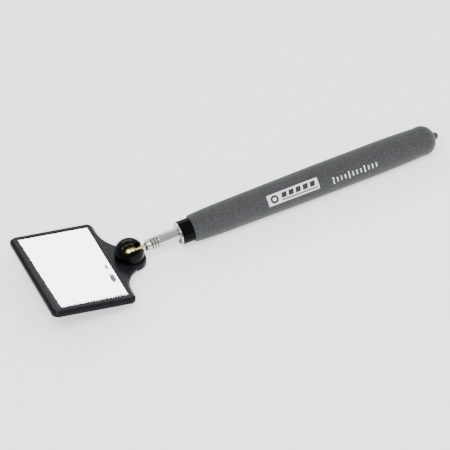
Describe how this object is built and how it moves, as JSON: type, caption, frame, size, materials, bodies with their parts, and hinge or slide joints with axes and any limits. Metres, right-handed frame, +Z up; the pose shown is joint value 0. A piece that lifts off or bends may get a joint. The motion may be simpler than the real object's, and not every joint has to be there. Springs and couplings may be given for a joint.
{
  "type": "telescoping inspection mirror",
  "caption": "Rectangular inspection mirror in a tray frame on a ball joint, with a telescoping chrome rod and a dipped cushion grip.",
  "frame": {"origin": "on the handle's axis at the middle of the grip's straight stretch", "axes": "+X along the handle from the mirror towards the grip's closed end, +Z up, +Y to the left seen from the mirror"},
  "size_m": [0.323, 0.1009, 0.0236],
  "materials": {
    "chrome": "polished",
    "brass": "satin",
    "rubber": "matte",
    "gloss_black": "gloss",
    "dark_plastic": "matte",
    "grip_vinyl": "matte, finely speckled",
    "spring_steel": "satin",
    "joint_black": "satin",
    "pale_nylon": "satin",
    "frame_black": "satin",
    "mirror": "mirror",
    "foam_tape": "matte"
  },
  "bodies": {
    "handle": {"barrel": "chrome", "mouth_bush": "brass", "barrel_bumper": "rubber", "handle_core": "gloss_black", "core_end_plug": "dark_plastic", "grip": "grip_vinyl"},
    "slider": {"friction_shim_near": "spring_steel", "friction_shim_far": "spring_steel"},
    "rod": {"rod_tube": "chrome", "ball_stud": "brass", "rod_stop_ring": "brass", "rod_end_collar": "brass"},
    "cap": {"swivel_cap": "joint_black", "ball_seat": "pale_nylon"},
    "mirror_head": {"mirror_frame": "frame_black", "mirror_glass": "mirror", "adhesive_pad": "foam_tape", "boss_cover": "joint_black", "seat_spring": "spring_steel"}
  },
  "joints": [
    {"name": "rod_slide", "type": "slide", "parent": "handle", "child": "slider", "axis": [-1, 0, 0], "range_m": [0, 0.102]},
    {"name": "rod_turn", "type": "hinge", "parent": "slider", "child": "rod", "pos_m": [-0.0003, 0, 0], "axis": [1, 0, 0], "continuous": true},
    {"name": "head_tilt", "type": "hinge", "parent": "rod", "child": "cap", "pos_m": [-0.165, 0, 0], "axis": [0, 0.8192, 0.5736], "range_deg": [-2, 112]},
    {"name": "head_swivel", "type": "hinge", "parent": "cap", "child": "mirror_head", "pos_m": [-0.165, 0, 0], "axis": [0.1822, 0, 0.9833], "continuous": true}
  ]
}
